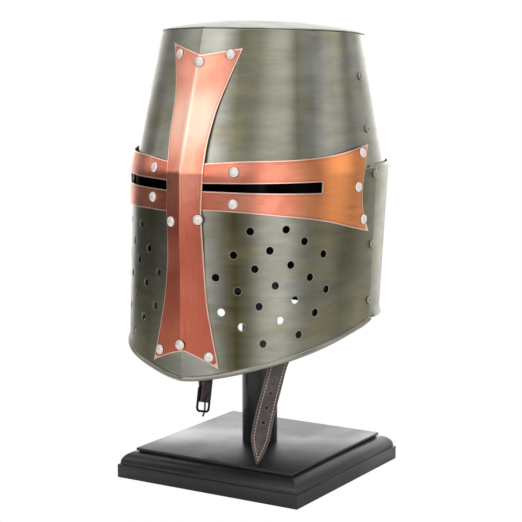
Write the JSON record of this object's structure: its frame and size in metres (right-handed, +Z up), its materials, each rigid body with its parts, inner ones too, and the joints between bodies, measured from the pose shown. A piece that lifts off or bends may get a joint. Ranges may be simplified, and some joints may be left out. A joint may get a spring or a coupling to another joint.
{
  "type": "great helm on display stand",
  "caption": "Creased great helm of riveted plates with a copper cross, two sight slits, breath holes and chin straps, on a black stand.",
  "frame": {"origin": "middle of the stand's underside", "axes": "+Z up; the helmet's face looks along -Y; its wearer's left cheek is on +X"},
  "size_m": [0.2429, 0.2806, 0.4424],
  "materials": {
    "steel": "hand-rubbed browned steel, satin",
    "copper": "copper sheet, brushed along its length",
    "rivets": "polished nickel rivet heads",
    "leather": "dark brown strap leather, stitched edges",
    "buckle": "black iron, satin",
    "stand": "black lacquered wood, satin"
  },
  "bodies": {
    "root": {"crown_plate": "steel", "upper_front": "steel", "upper_back": "steel", "lower_front": "steel", "lower_back": "steel", "cross_band": "copper", "cross_bar": "copper", "bar_rivet_top_left": "rivets", "bar_rivet_top_middle": "rivets", "bar_rivet_top_right": "rivets", "bar_rivet_waist_left": "rivets", "bar_rivet_waist_right": "rivets", "bar_rivet_foot_left": "rivets", "bar_rivet_foot_middle": "rivets", "bar_rivet_foot_right": "rivets", "band_rivet_right_upper": "rivets", "band_rivet_right_lower": "rivets", "band_rivet_left_upper": "rivets", "band_rivet_left_lower": "rivets", "band_tip_rivet_right_upper": "rivets", "band_tip_rivet_right_middle": "rivets", "band_tip_rivet_right_lower": "rivets", "band_tip_rivet_left_upper": "rivets", "band_tip_rivet_left_middle": "rivets", "band_tip_rivet_left_lower": "rivets", "seam_rivet_upper_high_left": "rivets", "seam_rivet_upper_high_right": "rivets", "seam_rivet_upper_low_left": "rivets", "seam_rivet_upper_low_right": "rivets", "seam_rivet_lower_high_left": "rivets", "seam_rivet_lower_high_right": "rivets", "seam_rivet_lower_middle_left": "rivets", "seam_rivet_lower_middle_right": "rivets", "seam_rivet_lower_low_left": "rivets", "seam_rivet_lower_low_right": "rivets", "strap_long": "leather", "strap_rivet_right": "rivets", "strap_short": "leather", "strap_rivet_left": "rivets", "buckle_frame": "buckle", "buckle_prong": "buckle", "stand_base": "stand", "stand_post": "stand"}
  },
  "joints": []
}
